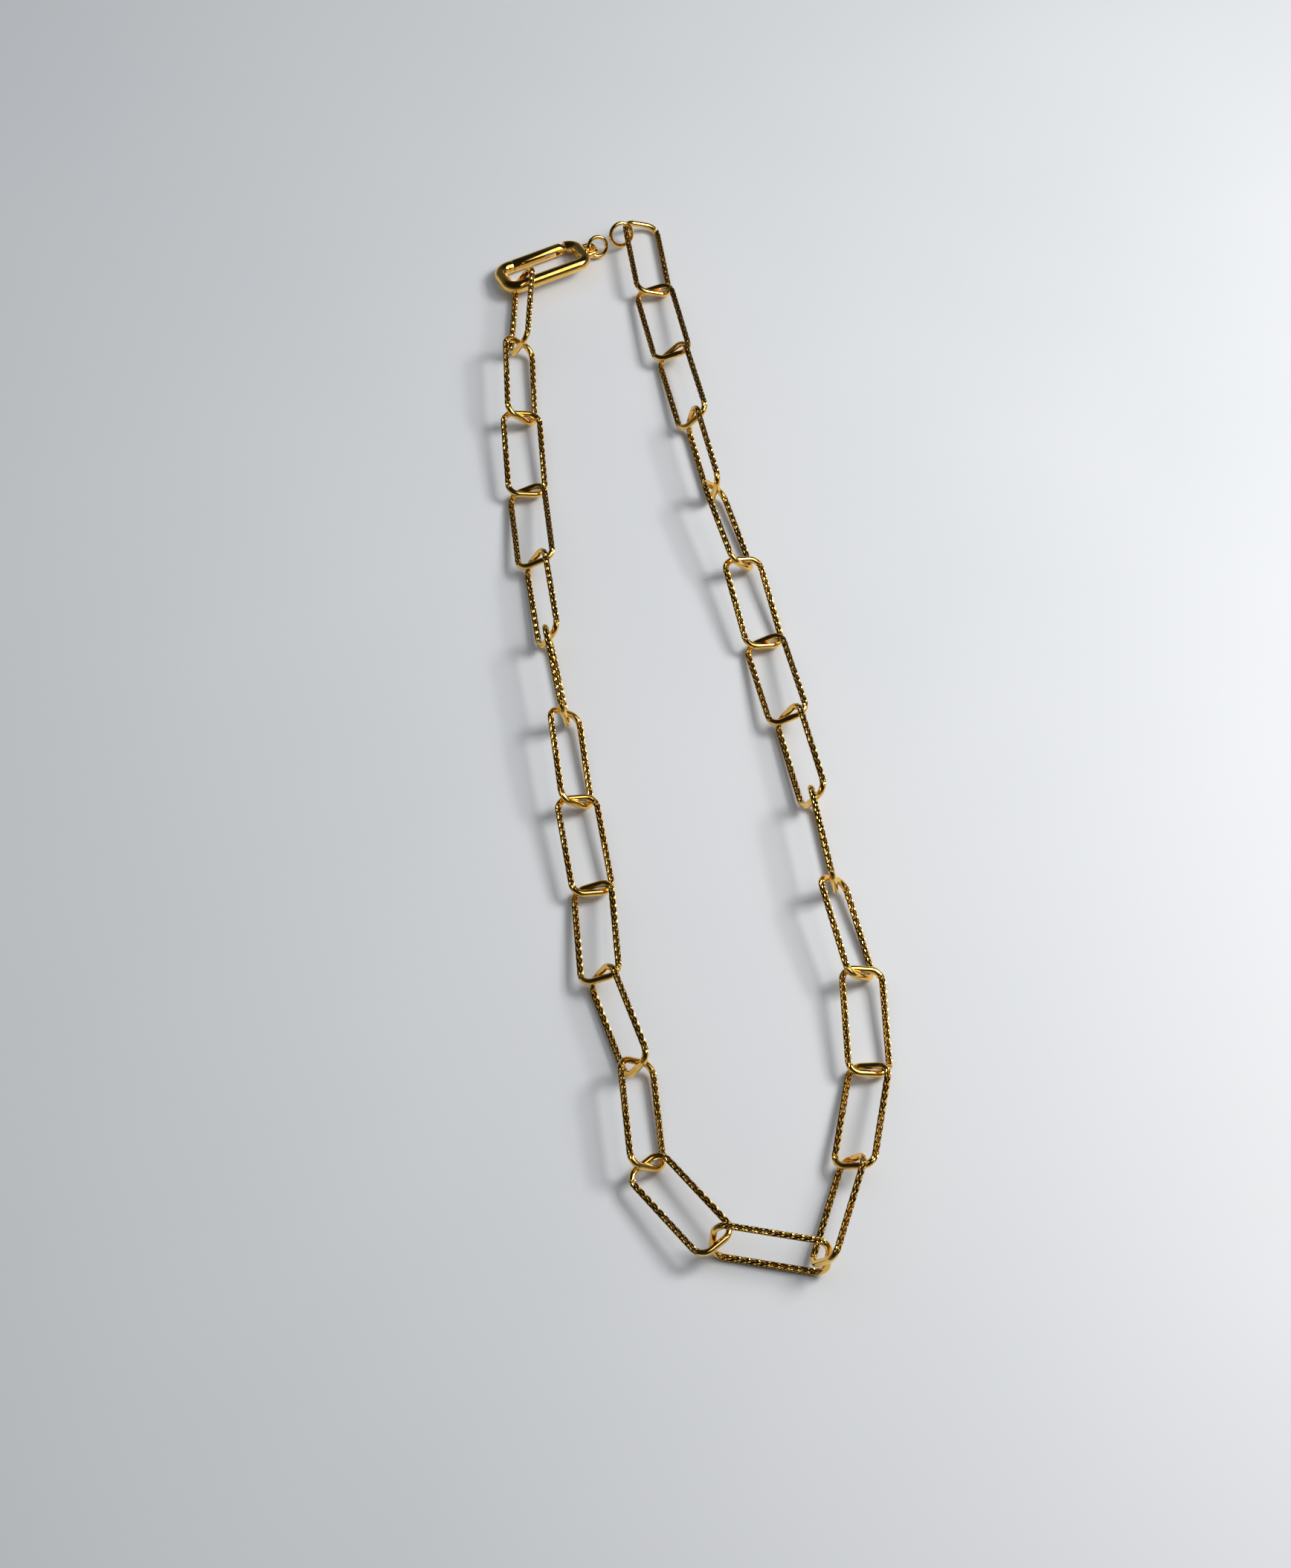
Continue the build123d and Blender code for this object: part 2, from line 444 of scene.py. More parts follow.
class Bench:
    """Edit-mode work on one piece at a time."""

    @staticmethod
    def clear() -> None:
        """Leave edit mode and deselect everything."""
        if bpy.context.object and bpy.context.object.mode != "OBJECT":
            bpy.ops.object.mode_set(mode="OBJECT")
        bpy.ops.object.select_all(action="DESELECT")

    @staticmethod
    def take(piece: bpy.types.Object) -> None:
        """Make a piece the only selected and the active one.

        Args:
            piece: The piece to work on.
        """
        Bench.clear()
        piece.hide_set(False)
        piece.select_set(True)
        bpy.context.view_layer.objects.active = piece

    @staticmethod
    def new(name: str) -> bpy.types.Object:
        """Name the primitive just added and give it its place in its mesh.

        Args:
            name: Its name.

        Returns:
            The piece.
        """
        piece = bpy.context.object
        piece.name = name
        piece.data.name = name
        bpy.ops.object.transform_apply(location=True, rotation=True, scale=True)
        return piece

    @staticmethod
    def edit(piece: bpy.types.Object) -> None:
        """Open a piece in edit mode."""
        Bench.take(piece)
        bpy.ops.object.mode_set(mode="EDIT")

    @staticmethod
    def pick(piece: bpy.types.Object, kind: Select, test: Callable[[Any], bool]) -> int:
        """Select what passes a test, and nothing else, in the piece being edited.

        Args:
            piece: The piece in edit mode.
            kind: Whether points, edges or faces are tested.
            test: Takes a bmesh element and says whether it is selected.

        Returns:
            How many were selected.
        """
        bpy.ops.mesh.select_mode(type=kind.value)
        bpy.ops.mesh.select_all(action="DESELECT")
        mesh = bmesh.from_edit_mesh(piece.data)
        parts = {Select.POINTS: mesh.verts, Select.EDGES: mesh.edges, Select.FACES: mesh.faces}[kind]
        found = [part for part in parts if test(part)]
        for part in found:
            part.select_set(True)
        mesh.select_flush_mode()
        bmesh.update_edit_mesh(piece.data)
        return len(found)

    @staticmethod
    def close_up(piece: bpy.types.Object) -> None:
        """Merge a piece's doubled points, fill its open ends and turn its faces outwards.

        Args:
            piece: The piece to close.
        """
        Bench.edit(piece)
        bpy.ops.mesh.select_all(action="SELECT")
        bpy.ops.mesh.remove_doubles(threshold=MERGE_DISTANCE)
        bpy.ops.mesh.fill_holes(sides=0)
        bpy.ops.mesh.normals_make_consistent(inside=False)
        Bench.clear()

    @staticmethod
    def modify(piece: bpy.types.Object, kind: str, **settings: Any) -> None:
        """Add a modifier and apply it.

        Args:
            piece: The piece to finish.
            kind: The modifier's type.
            **settings: The modifier's properties.
        """
        Bench.take(piece)
        modifier = piece.modifiers.new(kind.title(), kind)
        for name, value in settings.items():
            setattr(modifier, name, value)
        bpy.ops.object.modifier_apply(modifier=modifier.name)

    @staticmethod
    def cut(piece: bpy.types.Object, tool: bpy.types.Object, operation: str = "DIFFERENCE") -> None:
        """Take a tool's shape from a piece, or add it, and throw the tool away.

        Args:
            piece: The piece to shape.
            tool: The tool.
            operation: The Boolean's operation.
        """
        Bench.modify(piece, "BOOLEAN", object=tool, operation=operation, solver="EXACT")
        bpy.data.objects.remove(tool)

    @staticmethod
    def soften(piece: bpy.types.Object, width: float, angle: float = 35) -> None:
        """Break a piece's sharp edges and shade the rest smooth.

        Args:
            piece: The piece.
            width: Width of the break, in millimetres.
            angle: Edges sharper than this are broken, in degrees.
        """
        Bench.modify(
            piece,
            "BEVEL",
            width=width * MM,
            segments=2,
            limit_method="ANGLE",
            angle_limit=math.radians(angle),
        )
        Bench.take(piece)
        bpy.ops.object.shade_smooth_by_angle(angle=math.radians(angle))

    @staticmethod
    def block(name: str, low: Vector, high: Vector) -> bpy.types.Object:
        """Make a block, with its size in its mesh.

        Args:
            name: Its name.
            low: Its lowest corner, in metres.
            high: Its highest corner, in metres.

        Returns:
            The block.
        """
        Bench.clear()
        bpy.ops.mesh.primitive_cube_add(size=1, location=(low + high) / 2)
        bpy.context.object.scale = high - low
        return Bench.new(name)

    @staticmethod
    def rod(name: str, radius: float, length: float, centre: Vector, sides: int = 32) -> bpy.types.Object:
        """Make a round rod that stands along Z.

        Args:
            name: Its name.
            radius: Its radius, in metres.
            length: Its length, in metres.
            centre: Its middle, in metres.
            sides: Points round it.

        Returns:
            The rod.
        """
        Bench.clear()
        bpy.ops.mesh.primitive_cylinder_add(vertices=sides, radius=radius, depth=length, location=centre)
        return Bench.new(name)

    @staticmethod
    def copy_to(model: bpy.types.Object, name: str, place: Matrix) -> bpy.types.Object:
        """Copy a modelled piece, with its own mesh, to its place on the necklace.

        Args:
            model: The piece at the bench.
            name: The copy's name.
            place: Where it goes.

        Returns:
            The copy, with its place in its mesh.
        """
        Bench.take(model)
        bpy.ops.object.duplicate(linked=False)
        copy = bpy.context.object
        copy.name = name
        copy.data.name = name
        copy.matrix_world = place
        bpy.ops.object.transform_apply(location=True, rotation=True, scale=True)
        return copy


class WireRun:
    """A round wire drawn out from a ring, whose leading ring stays selected."""

    def __init__(self, name: str, radius: float, sides: int, start: Vector) -> None:
        """Start the wire with a ring that faces along X.

        Args:
            name: The piece's name.
            radius: Radius of the wire, in metres.
            sides: Points round the ring.
            start: Centre of the ring.
        """
        Bench.clear()
        bpy.ops.mesh.primitive_circle_add(
            vertices=sides,
            radius=radius,
            location=start,
            rotation=(0, QUARTER_TURN, 0),
        )
        self.piece = Bench.new(name)
        bpy.ops.object.mode_set(mode="EDIT")
        bpy.ops.mesh.select_mode(type=Select.POINTS.value)
        bpy.ops.mesh.select_all(action="SELECT")

    def straight(self, travel: Vector, steps: int = 1) -> "WireRun":
        """Draw the wire straight on in equal steps.

        Args:
            travel: How far and which way, in metres.
            steps: How many steps.

        Returns:
            The run, to go on from.
        """
        for _ in range(steps):
            bpy.ops.mesh.extrude_region_move(TRANSFORM_OT_translate={"value": travel / steps})
        return self

    def bend(self, centre: Vector, turn: float, steps: int) -> "WireRun":
        """Bend the wire about an upright axis.

        Args:
            centre: Where the axis stands, in metres.
            turn: How far it bends, clockwise from above.
            steps: How many steps.

        Returns:
            The run, to go on from.
        """
        bpy.ops.mesh.spin(steps=steps, angle=turn, center=centre, axis=(0, 0, 1))
        return self


# ---------------------------------------------------------------- the pieces


def pose_of(node: str) -> Matrix:
    """Where a symmetrical piece lies: X along its length, Z out of its plane.

    Args:
        node: Name of its CAD node.

    Returns:
        The turn and place, as a matrix.
    """
    points = np.array([vertex.co for vertex in frame["nodes"][node].data.vertices], float)
    points = np.unique(points.round(7), axis=0)
    _, _, axes = np.linalg.svd(points - points.mean(0), full_matrices=False)
    along, across = Vector(axes[0]), Vector(axes[1])
    reach = points @ axes.T
    middle = Vector(((reach.min(0) + reach.max(0)) / 2) @ axes)
    return place_of(middle, along, across)


def place_of(origin: Vector, along: Vector, across: Vector) -> Matrix:
    """Make the matrix of a place.

    Args:
        origin: Its origin.
        along: Its X direction.
        across: Its Y direction.

    Returns:
        The turn and place.
    """
    turn = Matrix((along, across, along.cross(across))).transposed().to_4x4()
    return Matrix.Translation(origin) @ turn


def joint(name: str) -> tuple[Vector, Vector]:
    """Look up a joint's axis.

    Args:
        name: The joint's name.

    Returns:
        A point on the axis, and its direction.
    """
    found = next(entry for entry in frame["joints"] if entry["name"] == name)
    return Vector(found["pos_m"]), Vector(found["axis"]).normalized()


@dataclass
class DiamondCutLink:
    """One rounded-rectangle link: cross-cut side wires between polished bends.

    Args:
        finish: The link's material.
        length: Outside length.
        width: Outside width.
        wire: Wire diameter.
        corner: Outside radius of a bend.
        cut_depth: Depth of the cuts between the pyramids.
        dome: Power that rounds a pyramid's peak; 1 leaves flat sides.
        cut_steps: Rings from the middle of a side to its bend.
        bend_steps: Rings round a bend.
        end_steps: Rings from a bend to the middle of an end.
        fade_steps: Rings of the bend over which the cuts fade out.
        sides: Points round the wire.
        pyramid: Steps from one pyramid's peak to the next.
    """

    finish: bpy.types.Material
    length: float = 16.75
    width: float = 7.0
    wire: float = 1.0
    corner: float = 2.3
    cut_depth: float = 0.16
    dome: float = 1.8
    cut_steps: int = 18
    bend_steps: int = 12
    end_steps: int = 4
    fade_steps: int = 8
    sides: int = 24
    pyramid: ClassVar[int] = 4

    @property
    def half_side(self) -> float:
        """Half of a side's straight length."""
        return self.length / 2 - self.corner

    @property
    def bend_radius(self) -> float:
        """Radius of a bend's centre line."""
        return self.corner - self.wire / 2

    @property
    def side_offset(self) -> float:
        """Distance from the middle of the link to a side's centre line."""
        return (self.width - self.wire) / 2

    def model(self) -> bpy.types.Object:
        """Draw a quarter of the link, cut it and mirror it into the whole."""
        end_offset = self.side_offset - self.bend_radius
        run = WireRun("link_model", self.wire / 2 * MM, self.sides, mm(0, self.side_offset, 0))
        run.straight(mm(self.half_side, 0, 0), self.cut_steps)
        run.bend(mm(self.half_side, end_offset, 0), QUARTER_TURN, self.bend_steps)
        run.straight(mm(0, -end_offset, 0), self.end_steps)
        piece = run.piece
        bpy.ops.mesh.select_all(action="SELECT")
        bpy.ops.mesh.normals_make_consistent(inside=False)
        self._cut(piece)
        Bench.take(piece)
        self._mask_groove_shade(piece)
        Bench.modify(piece, "MIRROR", use_axis=(True, True, False), merge_threshold=MERGE_DISTANCE)
        Bench.close_up(piece)
        return piece

    def _grid(self, point: Vector) -> tuple[float, float]:
        """Steps along and round the wire of a point on its surface.

        Args:
            point: A point of the quarter, in metres.

        Returns:
            Steps from the middle of the side, and steps round from its outer edge.
        """
        x, y, z = point / MM
        past = x - self.half_side
        inner = y - (self.side_offset - self.bend_radius)
        if past <= 0:
            along = x / self.half_side * self.cut_steps
            out = y - self.side_offset
        else:
            angle = math.atan2(past, max(inner, 0))
            along = self.cut_steps + angle / QUARTER_TURN * self.bend_steps
            out = math.hypot(past, inner) - self.bend_radius
        return along, math.atan2(z, out) / math.tau * self.sides

    def _level(self, point: Vector) -> tuple[int, int]:
        """Say how deep a point is cut.

        Args:
            point: A point of the quarter, in metres.

        Returns:
            Steps down from the nearest peak, and rings past the start of the bend.
        """
        along, around = (round(value) for value in self._grid(point))
        half, whole = self.pyramid // 2, self.pyramid
        u, v = along % whole, around % whole
        peaks = [(0, 0), (half, half), (0, whole), (whole, 0), (whole, whole)]
        level = min(abs(u - a) + abs(v - b) for a, b in peaks)
        return level, max(0, along - self.cut_steps)

    def _left(self, fade: int) -> float:
        """Share of the cut that is left some rings past the start of the bend."""
        return max(0.0, 1 - fade / self.fade_steps)

    def _mask_groove_shade(self, piece: bpy.types.Object) -> None:
        """Note how deep each point is cut, from 0 to 1, as the mask of the shade that the finish paints into
        the grooves.

        Args:
            piece: The quarter, out of edit mode.
        """
        layer = piece.data.attributes.new(GROOVE_SHADE_LAYER, "FLOAT", "POINT")
        for point, mark in zip(piece.data.vertices, layer.data):
            level, fade = self._level(point.co)
            mark.value = level / (self.pyramid / 2) * self._left(fade)

    def _cut(self, piece: bpy.types.Object) -> None:
        """Press the grooves between the pyramids, fading them out round the bend.

        Args:
            piece: The quarter, in edit mode.
        """
        for fade in range(self.fade_steps):
            depth = self.cut_depth * self._left(fade)
            for level in range(1, self.pyramid // 2 + 1):
                if Bench.pick(piece, Select.POINTS, lambda p: self._level(p.co) == (level, fade)):
                    sink = depth * (level / (self.pyramid / 2)) ** self.dome
                    bpy.ops.transform.shrink_fatten(value=-sink * MM)
        bpy.ops.mesh.select_all(action="SELECT")
        bpy.ops.mesh.faces_shade_smooth()
        last_cut = self.cut_steps + self.fade_steps // 2
        Bench.pick(piece, Select.FACES, lambda face: self._grid(face.calc_center_median())[0] < last_cut)
        bpy.ops.mesh.faces_shade_flat()


@dataclass
class Chain:
    """The run of links, each a copy of one model.

    Args:
        link: How a link is made.
        count: How many links there are.
    """

    link: DiamondCutLink
    count: int = 26

    def build(self) -> list[bpy.types.Object]:
        """Copy the link to each place in the chain."""
        model = self.link.model()
        links = []
        for number in range(1, self.count + 1):
            node = f"link_{number:02d}"
            piece = Bench.copy_to(model, f"{node}_cut", pose_of(node))
            piece.data.materials.append(self.link.finish)
            fit(piece, node, (node,))
            links.append(piece)
        bpy.data.objects.remove(model)
        return links


@dataclass
class JumpRing:
    """A round ring of wire, closed with a fine solder seam.

    Args:
        node: The CAD node and body that it stands for.
        diameter: Outside diameter.
        finish: Its material.
        wire: Wire diameter.
        steps: Rings round it.
        sides: Points round the wire.
        seam_depth: Depth of the solder seam.
    """

    node: str
    diameter: float
    finish: bpy.types.Material
    wire: float = 0.7
    steps: int = 64
    sides: int = 20
    seam_depth: float = 0.035

    def build(self) -> bpy.types.Object:
        """Spin the wire round and press its seam."""
        radius = (self.diameter - self.wire) / 2
        run = WireRun("ring_model", self.wire / 2 * MM, self.sides, mm(0, radius, 0))
        run.bend(Vector((0, 0, 0)), math.tau, self.steps)
        Bench.close_up(run.piece)
        Bench.edit(run.piece)
        Bench.pick(run.piece, Select.POINTS, lambda p: abs(p.co.x) < MERGE_DISTANCE and p.co.y > 0)
        bpy.ops.transform.shrink_fatten(value=-self.seam_depth * MM)
        Bench.take(run.piece)
        bpy.ops.object.shade_smooth()
        piece = Bench.copy_to(run.piece, f"{self.node}_wire", pose_of(self.node))
        bpy.data.objects.remove(run.piece)
        piece.data.materials.append(self.finish)
        fit(piece, self.node, (self.node,))
        return piece


@dataclass
class Clasp:
    """The hinged clasp: frame with its eye, gate, pivot pin and leaf spring.

    Args:
        gold: Material of the frame, gate and pin.
        steel: Material of the spring.
        length: Outside length of the frame.
        width: Outside width of the frame.
        bar: Thickness of its bar.
        corner: Outside radius of its corners.
        eye_length: Outside length of the eye's loop.
        eye_width: Outside width of the eye.
        eye_wire: Thickness of the eye's wire.
        eye_corner: Outside radius of the eye's corners.
        eye_reach: How far the eye stands out of the frame.
        gate_length: From the gate's free end to its pin.
        pin_diameter: Diameter of the pin.
        pin_shortfall: How far each end of the pin is below the gate's face.
        pin_clearance: Gap round the pin in the hinge tongue.
        tongue_thickness: Thickness of both tongues.
        tongue_radius: Radius of the hinge tongue's round end.
        catch_length: Length of the catch tongue.
        catch_below: How far the catch goes below the bar's centre line.
        catch_above: How far the catch goes above it.
        side_clearance: Gap on each side of a tongue in its slot.
        end_clearance: Gap at the ends of the gate and its slots.
        spring_length: Length of the leaf spring.
        spring_thickness: Thickness of the leaf.
        spring_width: Width of the leaf.
        spring_drop: From the bar's centre line to the leaf's lower face.
        spring_bow: How far the middle of the leaf bows.
        spring_cuts: Cuts along the leaf, for its bow.
        spring_edge: Width of the leaf's broken edges.
        pin_edge: Width of the pin's broken edges.
        edge_break: Width of the broken edges of the frame and gate.
        sides: Points round a bar.
        bend_steps: Rings round a corner.
    """

    gold: bpy.types.Material
    steel: bpy.types.Material
    length: float = 16.5
    width: float = 8.3
    bar: float = 2.1
    corner: float = 3.0
    eye_length: float = 4.0
    eye_width: float = 3.6
    eye_wire: float = 0.9
    eye_corner: float = 1.3
    eye_reach: float = 1.9
    gate_length: float = 8.6
    pin_diameter: float = 0.6
    pin_shortfall: float = 0.06
    pin_clearance: float = 0.03
    tongue_thickness: float = 0.66
    tongue_radius: float = 0.7
    catch_length: float = 1.0
    catch_below: float = 0.3
    catch_above: float = 0.5
    side_clearance: float = 0.07
    end_clearance: float = 0.1
    spring_length: float = 2.0
    spring_thickness: float = 0.15
    spring_width: float = 0.6
    spring_drop: float = 0.68
    spring_bow: float = 0.03
    spring_cuts: int = 5
    spring_edge: float = 0.02
    pin_edge: float = 0.06
    edge_break: float = 0.05
    sides: int = 40
    bend_steps: int = 16
    place: Matrix = field(init=False)

    def __post_init__(self) -> None:
        """Find where the clasp lies from its two joints."""
        _, upright = joint("gate_swing")
        eye_bar, across = joint("clasp_ring_swing")
        along = across.cross(upright).normalized()
        self.place = place_of(eye_bar - along * self.eye_bar * MM, along, upright.cross(along))

    @property
    def half_bar(self) -> float:
        """Radius of the frame's bar."""
        return self.bar / 2

    @property
    def bar_offset(self) -> float:
        """Distance from the middle of the clasp to a long bar's centre line."""
        return (self.width - self.bar) / 2

    @property
    def eye_centre(self) -> float:
        """Distance from the middle of the clasp to the middle of its eye."""
        return self.length / 2 + self.eye_reach - self.eye_length / 2

    @property
    def eye_bar(self) -> float:
        """Distance from the middle of the clasp to the bar that the ring hangs on."""
        return self.eye_centre + (self.eye_length - self.eye_wire) / 2

    @property
    def pin_place(self) -> float:
        """Distance along the clasp to its pin."""
        return self.gate_length / 2

    @property
    def hinge_face(self) -> float:
        """Where the frame starts again past the gate's hinged end."""
        return self.pin_place + self.half_bar + self.end_clearance

    @property
    def gate_end(self) -> float:
        """Where the gate's free end is."""
        return self.pin_place - self.gate_length

    @property
    def catch_face(self) -> float:
        """Where the frame ends at the catch."""
        return self.gate_end - self.end_clearance

    @property
    def spring_start(self) -> float:
        """Where the leaf spring and the slot behind it start."""
        return self.pin_place - self.tongue_radius - self.end_clearance - self.spring_length

    def build(self) -> list[bpy.types.Object]:
        """Make the four pieces and put them in place."""
        makers = {
            "clasp_frame": (self._frame, "clasp", self.gold, Surface.POLISHED),
            "clasp_gate": (self._gate, "gate", self.gold, Surface.POLISHED),
            "gate_pin": (self._pin, "gate", self.gold, Surface.POLISHED),
            "gate_spring": (self._spring, "gate", self.steel, Surface.SPRING),
        }
        pieces = []
        for node, (make, body, finish, surface) in makers.items():
            model = make()
            piece = Bench.copy_to(model, f"{node}_made", self.place)
            bpy.data.objects.remove(model)
            piece.data.materials.clear()
            piece.data.materials.append(finish)
            fit(piece, body, (node,))
            pieces.append(piece)
        return pieces

    def _loop(
        self, name: str, length: float, width: float, wire: float, corner: float, centre: float
    ) -> bpy.types.Object:
        """A closed rounded rectangle of round wire.

        Args:
            name: The piece's name.
            length: Outside length along X.
            width: Outside width along Y.
            wire: Wire diameter.
            corner: Outside radius of the corners.
            centre: Its middle along X.

        Returns:
            The loop, at the bench.
        """
        bend = corner - wire / 2
        x, y = length / 2 - corner, (width - wire) / 2
        inner = y - bend
        run = WireRun(name, wire / 2 * MM, self.sides, mm(centre, y, 0))
        sides = [
            ((x, 0, 0), (centre + x, inner, 0)),
            ((0, -2 * inner, 0), (centre + x, -inner, 0)),
            ((-2 * x, 0, 0), (centre - x, -inner, 0)),
            ((0, 2 * inner, 0), (centre - x, inner, 0)),
        ]
        for travel, turning_point in sides:
            run.straight(mm(*travel)).bend(mm(*turning_point), QUARTER_TURN, self.bend_steps)
        run.straight(mm(x, 0, 0))
        Bench.close_up(run.piece)
        return run.piece

    def _frame(self) -> bpy.types.Object:
        """Bend the frame, cut the gate's gap, and add its tongues and eye."""
        frame_piece = self._loop("frame_model", self.length, self.width, self.bar, self.corner, 0)
        y, reach = self.bar_offset, self.bar
        gap = Bench.block(
            "gap", mm(self.catch_face, y - reach, -reach), mm(self.hinge_face, y + reach, reach)
        )
        Bench.cut(frame_piece, gap)
        half = self.tongue_thickness / 2
        root = self.hinge_face + self.half_bar / 2
        tongue = Bench.block(
            "hinge_tongue",
            mm(self.pin_place, y - self.tongue_radius, -half),
            mm(root, y + self.tongue_radius, half),
        )
        knuckle = Bench.rod("knuckle", self.tongue_radius * MM, 2 * half * MM, mm(self.pin_place, y, 0))
        Bench.cut(tongue, knuckle, "UNION")
        bore = self.pin_diameter / 2 + self.pin_clearance
        Bench.cut(tongue, Bench.rod("bore", bore * MM, self.bar * MM, mm(self.pin_place, y, 0)))
        catch = Bench.block(
            "catch_tongue",
            mm(self.catch_face - self.half_bar / 2, y - self.catch_below, -half),
            mm(self.catch_face + self.catch_length, y + self.catch_above, half),
        )
        eye = self._loop(
            "eye", self.eye_length, self.eye_width, self.eye_wire, self.eye_corner, self.eye_centre
        )
        inner_face = self.length / 2 - self.half_bar
        behind = Bench.block("behind", mm(0, -self.width, -reach), mm(inner_face, self.width, reach))
        Bench.cut(eye, behind)
        for part in (tongue, catch, eye):
            Bench.cut(frame_piece, part, "UNION")
        Bench.soften(frame_piece, self.edge_break)
        return frame_piece

    def _gate(self) -> bpy.types.Object:
        """Turn the gate with its round hinged end, and cut its two slots and pin hole."""
        y, radius = self.bar_offset, self.half_bar
        run = WireRun("gate_model", radius * MM, self.sides, mm(self.gate_end, y, 0))
        run.straight(mm(self.gate_length, 0, 0))
        rings = self.bend_steps // 2
        for step in range(1, rings):
            tilt = step / rings * QUARTER_TURN
            last = (step - 1) / rings * QUARTER_TURN
            run.straight(mm(radius * (math.sin(tilt) - math.sin(last)), 0, 0))
            shrink = math.cos(tilt) / math.cos(last)
            at = mm(self.pin_place + radius * math.sin(tilt), y, 0)
            bpy.ops.transform.resize(value=(1, shrink, shrink), center_override=at)
        gate = run.piece
        Bench.close_up(gate)
        slot = self.tongue_thickness / 2 + self.side_clearance
        hinge_slot = Bench.block(
            "hinge_slot", mm(self.spring_start, y - self.bar, -slot), mm(self.hinge_face, y + self.bar, slot)
        )
        catch_end = self.catch_face + self.catch_length + 2 * self.end_clearance
        low = y - self.catch_below - self.side_clearance
        catch_slot = Bench.block(
            "catch_slot",
            mm(self.gate_end - self.end_clearance, low, -slot),
            mm(catch_end, y + self.bar, slot),
        )
        hole = Bench.rod("pin_hole", self.pin_diameter / 2 * MM, 2 * self.bar * MM, mm(self.pin_place, y, 0))
        for tool in (hinge_slot, catch_slot, hole):
            Bench.cut(gate, tool)
        Bench.soften(gate, self.edge_break)
        return gate

    def _pin(self) -> bpy.types.Object:
        """A pin with softened ends, just short of the gate's faces."""
        length = self.bar - 2 * self.pin_shortfall
        middle = mm(self.pin_place, self.bar_offset, 0)
        pin = Bench.rod("pin_model", self.pin_diameter / 2 * MM, length * MM, middle)
        Bench.soften(pin, self.pin_edge)
        return pin

    def _spring(self) -> bpy.types.Object:
        """The leaf that presses the hinge tongue, bowed a little in its middle."""
        start, low = self.spring_start, self.bar_offset - self.spring_drop
        leaf = Bench.block(
            "spring_model",
            mm(start, low, -self.spring_width / 2),
            mm(start + self.spring_length, low + self.spring_thickness, self.spring_width / 2),
        )
        Bench.edit(leaf)
        half = self.spring_length / 2 * MM
        Bench.pick(leaf, Select.EDGES, lambda e: abs(e.verts[0].co.x - e.verts[1].co.x) > half)
        bpy.ops.mesh.subdivide(number_cuts=self.spring_cuts)
        middle = start * MM + half
        Bench.pick(leaf, Select.POINTS, lambda p: abs(p.co.x - middle) < 0.4 * half)
        bpy.ops.transform.translate(value=mm(0, -self.spring_bow, 0))
        Bench.soften(leaf, self.spring_edge)
        return leaf


def fit(piece: bpy.types.Object, body: str, nodes: Sequence[str]) -> None:
    """Seat a finished piece on its body in place of its CAD nodes.

    Args:
        piece: The piece, in place.
        body: The body that it moves with.
        nodes: CAD nodes that it stands for.
    """
    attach(piece, body)
    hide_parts(*nodes)
    log.info("%s rides on %s: %d faces", piece.name, body, len(piece.data.polygons))


# ---------------------------------------------------------------- the studio


@dataclass(frozen=True)
class SoftLight:
    """One soft box or lamp.

    Args:
        name: Its name.
        size: Width and height, in millimetres.
        place: Where it stands, in millimetres.
        power: Power in watts.
        colour: Its colour.
        mirrored: Whether polished metal shows it.
    """

    name: str
    size: tuple[float, float]
    place: tuple[float, float, float]
    power: float
    colour: tuple[float, float, float]
    mirrored: bool = True

    def build(self, target: Vector) -> bpy.types.Object:
        """Hang the light.

        Args:
            target: What it faces, in metres.

        Returns:
            The light.
        """
        Bench.clear()
        bpy.ops.object.light_add(type="AREA", location=mm(*self.place))
        lamp = bpy.context.object
        lamp.name = self.name
        lamp.rotation_euler = (target - lamp.location).to_track_quat("-Z", "Y").to_euler()
        lamp.data.shape = "RECTANGLE"
        lamp.data.size, lamp.data.size_y = (side * MM for side in self.size)
        lamp.data.energy = self.power
        lamp.data.color = self.colour
        lamp.visible_glossy = self.mirrored
        return lamp


